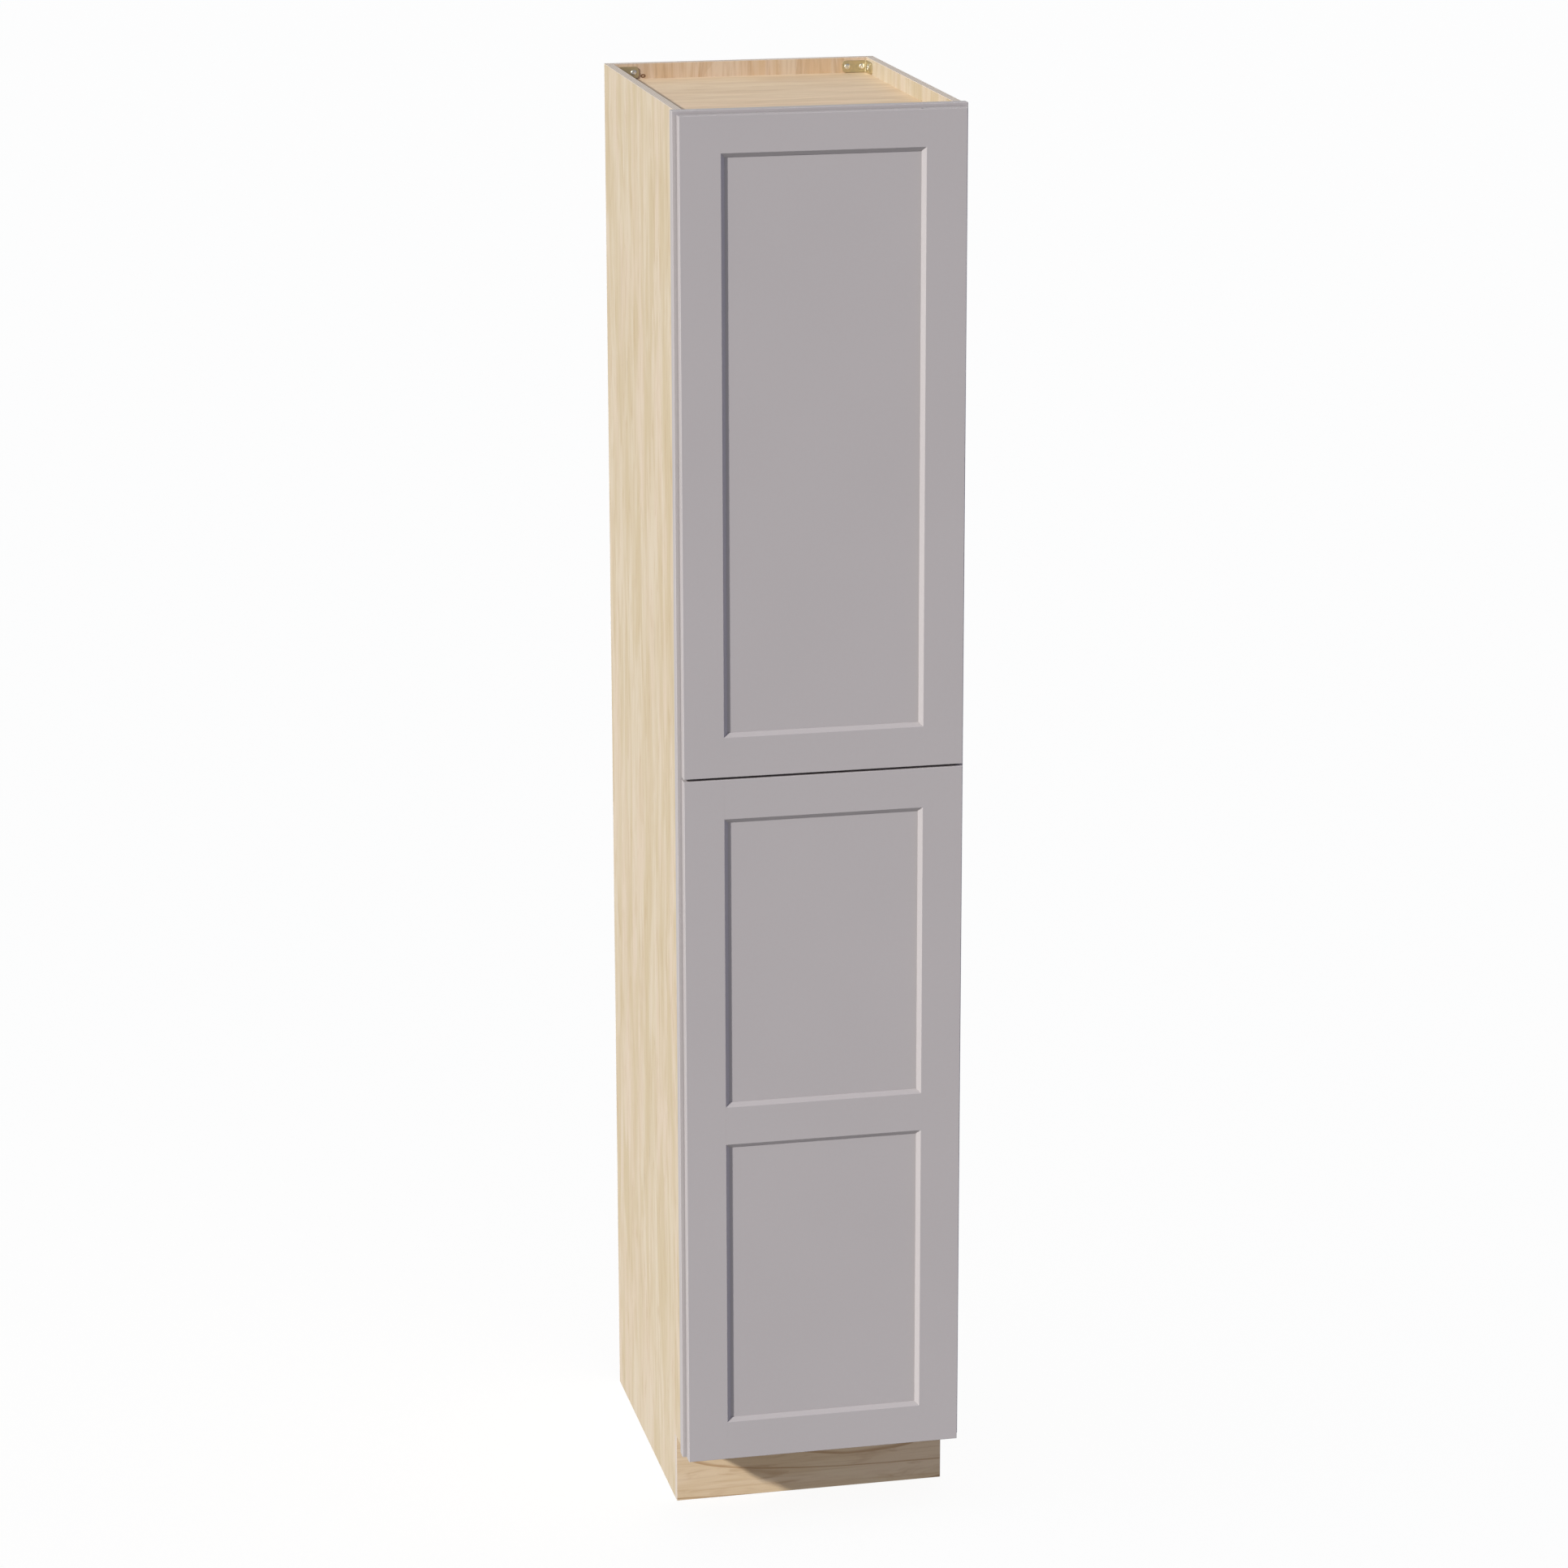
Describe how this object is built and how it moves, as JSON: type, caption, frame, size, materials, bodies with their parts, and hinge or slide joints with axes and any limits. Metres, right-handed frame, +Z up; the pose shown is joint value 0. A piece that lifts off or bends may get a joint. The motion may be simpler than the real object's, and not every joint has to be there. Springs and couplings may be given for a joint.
{
  "type": "pantry cabinet",
  "caption": "Tall face-frame pantry cabinet with recessed-panel overlay doors above one another, shelves inside and a toe space.",
  "frame": {"origin": "on the floor, under the middle of the cabinet's whole box, doors included", "axes": "+X to the right seen from the front, +Y to the back, +Z up"},
  "size_m": [0.4572, 0.6256, 2.286],
  "materials": {
    "grey_paint": "satin warm grey paint on wood",
    "maple_veneer": "clear-coated natural maple veneer plywood",
    "nickel_plate": "nickel-plated pressed steel",
    "yellow_zinc": "yellow zinc-plated pressed steel",
    "zinc_screw": "zinc-plated screws",
    "clear_bumper": "clear soft bumpers"
  },
  "bodies": {
    "case": {"back_panel": "maple_veneer", "bottom_panel": "maple_veneer", "corner_bracket_left": "yellow_zinc", "corner_bracket_right": "yellow_zinc", "corner_bracket_screws": "zinc_screw", "fixed_shelf": "maple_veneer", "frame_rail_bottom": "grey_paint", "frame_rail_middle": "grey_paint", "frame_rail_top": "grey_paint", "frame_stile_left": "grey_paint", "frame_stile_right": "grey_paint", "hinge_adjusters": "zinc_screw", "hinge_arm_1": "nickel_plate", "hinge_arm_2": "nickel_plate", "hinge_arm_3": "nickel_plate", "hinge_arm_4": "nickel_plate", "hinge_arm_5": "nickel_plate", "hinge_arm_6": "nickel_plate", "hinge_base_1": "nickel_plate", "hinge_base_2": "nickel_plate", "hinge_base_3": "nickel_plate", "hinge_base_4": "nickel_plate", "hinge_base_5": "nickel_plate", "hinge_base_6": "nickel_plate", "hinge_base_screws": "zinc_screw", "shelf_1": "maple_veneer", "shelf_2": "maple_veneer", "shelf_3": "maple_veneer", "shelf_4": "maple_veneer", "shelf_pins": "nickel_plate", "side_left": "maple_veneer", "side_right": "maple_veneer", "toe_kick_board": "maple_veneer", "toe_kick_brace": "maple_veneer", "top_panel": "maple_veneer"},
    "lower_door": {"hinge_cup_1": "nickel_plate", "hinge_cup_2": "nickel_plate", "hinge_cup_3": "nickel_plate", "lower_door_bumpers": "clear_bumper", "lower_door_cup_screws": "zinc_screw", "lower_door_hinge_pins": "nickel_plate", "lower_door_panel_bottom": "grey_paint", "lower_door_panel_top": "grey_paint", "lower_door_rail_bottom": "grey_paint", "lower_door_rail_middle": "grey_paint", "lower_door_rail_top": "grey_paint", "lower_door_stile_left": "grey_paint", "lower_door_stile_right": "grey_paint"},
    "upper_door": {"hinge_cup_4": "nickel_plate", "hinge_cup_5": "nickel_plate", "hinge_cup_6": "nickel_plate", "upper_door_bumpers": "clear_bumper", "upper_door_cup_screws": "zinc_screw", "upper_door_hinge_pins": "nickel_plate", "upper_door_panel": "grey_paint", "upper_door_rail_bottom": "grey_paint", "upper_door_rail_top": "grey_paint", "upper_door_stile_left": "grey_paint", "upper_door_stile_right": "grey_paint"}
  },
  "joints": [
    {"name": "lower_door_hinge", "type": "hinge", "parent": "case", "child": "lower_door", "pos_m": [0.21475, -0.303, 0.68285], "axis": [0, 0, 1], "range_deg": [0, 105]},
    {"name": "upper_door_hinge", "type": "hinge", "parent": "case", "child": "upper_door", "pos_m": [0.21475, -0.303, 1.7678], "axis": [0, 0, 1], "range_deg": [0, 105]}
  ]
}
